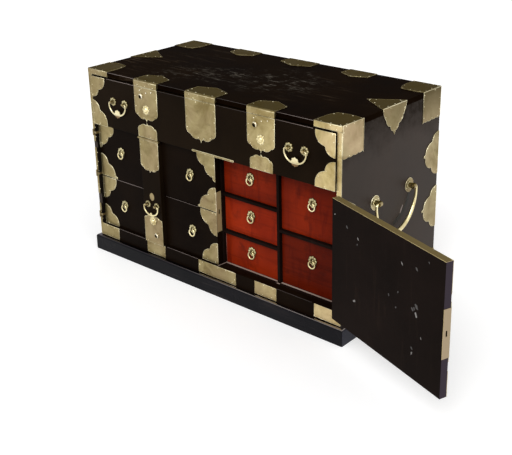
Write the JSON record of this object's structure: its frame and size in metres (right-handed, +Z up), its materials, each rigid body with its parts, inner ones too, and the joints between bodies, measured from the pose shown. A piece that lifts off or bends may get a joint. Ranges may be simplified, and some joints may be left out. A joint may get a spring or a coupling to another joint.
{
  "type": "two-tier chest",
  "caption": "Low East Asian lacquered chest with a long drawer over a two-door cupboard, small inner drawers, lobed brass mounts and ring and bail pulls",
  "frame": {"origin": "centre of the plinth's underside, on the floor", "axes": "+X to the chest's right seen from the front, +Y to its back, +Z up"},
  "size_m": [1.3054, 0.6037, 0.566],
  "materials": {
    "black_lacquer": "worn black lacquer",
    "red_lacquer": "red lacquer",
    "bare_wood": "unpainted board",
    "brass": "aged sheet brass"
  },
  "bodies": {
    "case": {"plinth": "black_lacquer", "bottom_board": "bare_wood", "bottom_rail": "black_lacquer", "side_board_left": "black_lacquer", "side_board_right": "black_lacquer", "top_board": "black_lacquer", "back_board": "bare_wood", "tier_shelf": "black_lacquer", "centre_partition": "black_lacquer", "drawer_upright": "black_lacquer", "drawer_dividers": "black_lacquer", "cupboard_shelf": "black_lacquer", "top_mounts": "brass", "side_mounts_left": "brass", "side_mounts_right": "brass", "front_mounts": "brass", "hinge_knuckles": "brass"},
    "left_door": {"left_door": "black_lacquer", "left_door_mounts": "brass", "left_door_hinges": "brass", "left_door_ring_posts": "brass"},
    "left_door_ring_1": {"left_door_ring_1": "brass"},
    "left_door_ring_2": {"left_door_ring_2": "brass"},
    "left_door_ring_3": {"left_door_ring_3": "brass"},
    "left_door_ring_4": {"left_door_ring_4": "brass"},
    "right_door": {"right_door": "black_lacquer", "right_door_mounts": "brass", "right_door_hinges": "brass", "right_door_ring_posts": "brass"},
    "right_door_ring_1": {"right_door_ring_1": "brass"},
    "right_door_ring_2": {"right_door_ring_2": "brass"},
    "right_door_ring_3": {"right_door_ring_3": "brass"},
    "right_door_ring_4": {"right_door_ring_4": "brass"},
    "locking_bar": {"locking_bar": "black_lacquer", "locking_bar_mounts": "brass"},
    "locking_bar_bail": {"locking_bar_bail": "brass"},
    "upper_drawer": {"upper_drawer_front": "black_lacquer", "upper_drawer_box": "bare_wood", "upper_drawer_mounts": "brass", "upper_drawer_locks": "brass"},
    "upper_drawer_bail_left": {"upper_drawer_bail_left": "brass"},
    "upper_drawer_bail_right": {"upper_drawer_bail_right": "brass"},
    "inner_drawer_1": {"inner_drawer_1": "red_lacquer", "inner_drawer_post_1": "brass"},
    "inner_drawer_ring_1": {"inner_drawer_ring_1": "brass"},
    "inner_drawer_2": {"inner_drawer_2": "red_lacquer", "inner_drawer_post_2": "brass"},
    "inner_drawer_ring_2": {"inner_drawer_ring_2": "brass"},
    "inner_drawer_3": {"inner_drawer_3": "red_lacquer", "inner_drawer_post_3": "brass"},
    "inner_drawer_ring_3": {"inner_drawer_ring_3": "brass"},
    "inner_drawer_4": {"inner_drawer_4": "red_lacquer", "inner_drawer_post_4": "brass"},
    "inner_drawer_ring_4": {"inner_drawer_ring_4": "brass"},
    "inner_drawer_5": {"inner_drawer_5": "red_lacquer", "inner_drawer_post_5": "brass"},
    "inner_drawer_ring_5": {"inner_drawer_ring_5": "brass"},
    "side_bail_left": {"side_bail_left": "brass"},
    "side_bail_right": {"side_bail_right": "brass"}
  },
  "joints": [
    {"name": "left_door_hinge", "type": "hinge", "parent": "case", "child": "left_door", "pos_m": [-0.4475, -0.2182, 0.246], "axis": [0, 0, -1], "range_deg": [0, 170]},
    {"name": "left_door_ring_1_swing", "type": "hinge", "parent": "left_door", "child": "left_door_ring_1", "pos_m": [-0.3415, -0.2115, 0.166], "axis": [-1, 0, 0], "range_deg": [0, 85]},
    {"name": "left_door_ring_2_swing", "type": "hinge", "parent": "left_door", "child": "left_door_ring_2", "pos_m": [-0.3415, -0.2115, 0.3307], "axis": [-1, 0, 0], "range_deg": [0, 85]},
    {"name": "left_door_ring_3_swing", "type": "hinge", "parent": "left_door", "child": "left_door_ring_3", "pos_m": [-0.0617, -0.2115, 0.166], "axis": [-1, 0, 0], "range_deg": [0, 85]},
    {"name": "left_door_ring_4_swing", "type": "hinge", "parent": "left_door", "child": "left_door_ring_4", "pos_m": [-0.0617, -0.2115, 0.3307], "axis": [-1, 0, 0], "range_deg": [0, 85]},
    {"name": "right_door_hinge", "type": "hinge", "parent": "case", "child": "right_door", "pos_m": [0.4475, -0.2182, 0.246], "axis": [0, 0, 1], "range_deg": [-160.8, 9]},
    {"name": "right_door_ring_1_swing", "type": "hinge", "parent": "right_door", "child": "right_door_ring_1", "pos_m": [0.5454, -0.25939, 0.166], "axis": [0.9444, -0.3289, 0], "range_deg": [0, 85]},
    {"name": "right_door_ring_2_swing", "type": "hinge", "parent": "right_door", "child": "right_door_ring_2", "pos_m": [0.5454, -0.25939, 0.3307], "axis": [0.9444, -0.3289, 0], "range_deg": [0, 85]},
    {"name": "right_door_ring_3_swing", "type": "hinge", "parent": "right_door", "child": "right_door_ring_3", "pos_m": [0.74731, -0.3297, 0.166], "axis": [0.9444, -0.3289, 0], "range_deg": [0, 85]},
    {"name": "right_door_ring_4_swing", "type": "hinge", "parent": "right_door", "child": "right_door_ring_4", "pos_m": [0.74731, -0.3297, 0.3307], "axis": [0.9444, -0.3289, 0], "range_deg": [0, 85]},
    {"name": "locking_bar_lift_off", "type": "slide", "parent": "left_door", "child": "locking_bar", "axis": [0, -1, 0], "range_m": [0, 0.03]},
    {"name": "locking_bar_bail_swing", "type": "hinge", "parent": "locking_bar", "child": "locking_bar_bail", "pos_m": [-0.207, -0.227, 0.204], "axis": [-1, 0, 0], "range_deg": [0, 85]},
    {"name": "upper_drawer_slide", "type": "slide", "parent": "case", "child": "upper_drawer", "axis": [0, -1, 0], "range_m": [0, 0.3]},
    {"name": "upper_drawer_bail_left_swing", "type": "hinge", "parent": "upper_drawer", "child": "upper_drawer_bail_left", "pos_m": [-0.32, -0.2275, 0.485], "axis": [-1, 0, 0], "range_deg": [0, 85]},
    {"name": "upper_drawer_bail_right_swing", "type": "hinge", "parent": "upper_drawer", "child": "upper_drawer_bail_right", "pos_m": [0.32, -0.2275, 0.485], "axis": [-1, 0, 0], "range_deg": [0, 85]},
    {"name": "inner_drawer_1_slide", "type": "slide", "parent": "case", "child": "inner_drawer_1", "axis": [0, -1, 0], "range_m": [0, 0.25]},
    {"name": "inner_drawer_ring_1_swing", "type": "hinge", "parent": "inner_drawer_1", "child": "inner_drawer_ring_1", "pos_m": [0.13025, -0.1825, 0.35422], "axis": [-1, 0, 0], "range_deg": [0, 85]},
    {"name": "inner_drawer_2_slide", "type": "slide", "parent": "case", "child": "inner_drawer_2", "axis": [0, -1, 0], "range_m": [0, 0.25]},
    {"name": "inner_drawer_ring_2_swing", "type": "hinge", "parent": "inner_drawer_2", "child": "inner_drawer_ring_2", "pos_m": [0.13025, -0.1825, 0.2475], "axis": [-1, 0, 0], "range_deg": [0, 85]},
    {"name": "inner_drawer_3_slide", "type": "slide", "parent": "case", "child": "inner_drawer_3", "axis": [0, -1, 0], "range_m": [0, 0.25]},
    {"name": "inner_drawer_ring_3_swing", "type": "hinge", "parent": "inner_drawer_3", "child": "inner_drawer_ring_3", "pos_m": [0.13025, -0.1825, 0.14256], "axis": [-1, 0, 0], "range_deg": [0, 85]},
    {"name": "inner_drawer_4_slide", "type": "slide", "parent": "case", "child": "inner_drawer_4", "axis": [0, -1, 0], "range_m": [0, 0.25]},
    {"name": "inner_drawer_ring_4_swing", "type": "hinge", "parent": "inner_drawer_4", "child": "inner_drawer_ring_4", "pos_m": [0.3345, -0.1825, 0.33496], "axis": [-1, 0, 0], "range_deg": [0, 85]},
    {"name": "inner_drawer_5_slide", "type": "slide", "parent": "case", "child": "inner_drawer_5", "axis": [0, -1, 0], "range_m": [0, 0.25]},
    {"name": "inner_drawer_ring_5_swing", "type": "hinge", "parent": "inner_drawer_5", "child": "inner_drawer_ring_5", "pos_m": [0.3345, -0.1825, 0.17744], "axis": [-1, 0, 0], "range_deg": [0, 85]},
    {"name": "side_bail_left_swing", "type": "hinge", "parent": "case", "child": "side_bail_left", "pos_m": [-0.464, 0, 0.333], "axis": [0, 1, 0], "range_deg": [0, 90]},
    {"name": "side_bail_right_swing", "type": "hinge", "parent": "case", "child": "side_bail_right", "pos_m": [0.464, 0, 0.333], "axis": [0, -1, 0], "range_deg": [0, 90]}
  ]
}
